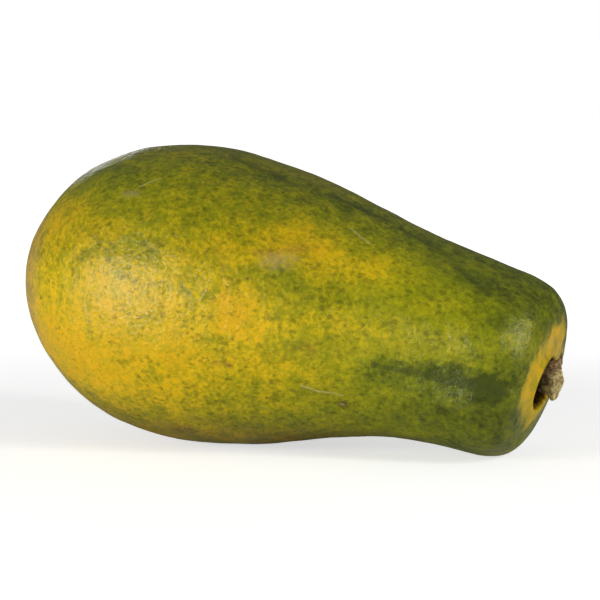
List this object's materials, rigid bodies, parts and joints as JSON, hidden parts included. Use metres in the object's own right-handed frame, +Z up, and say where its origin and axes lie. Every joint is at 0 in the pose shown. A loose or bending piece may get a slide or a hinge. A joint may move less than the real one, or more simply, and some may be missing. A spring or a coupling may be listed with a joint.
{
  "type": "papaya",
  "caption": "Whole ripening papaya lying on its side: round blossom end, full belly, furrowed neck and a dry stalk stub in the stem end.",
  "frame": {"origin": "centre of the bounding box at its bottom, on the surface that the fruit lies on", "axes": "+X towards the stem end along the fruit's length, +Z up, -Y towards the side that shows most"},
  "size_m": [0.1732, 0.0936, 0.0937],
  "materials": {
    "papaya_skin": "smooth waxy fruit skin, golden yellow on the belly and mottled and freckled olive green towards the neck, with a soft sheen",
    "dry_stalk": "dry fibrous stalk, beige with brown fibres, dull"
  },
  "bodies": {
    "root": {"fruit": "papaya_skin", "stem_stub": "dry_stalk"}
  },
  "joints": []
}
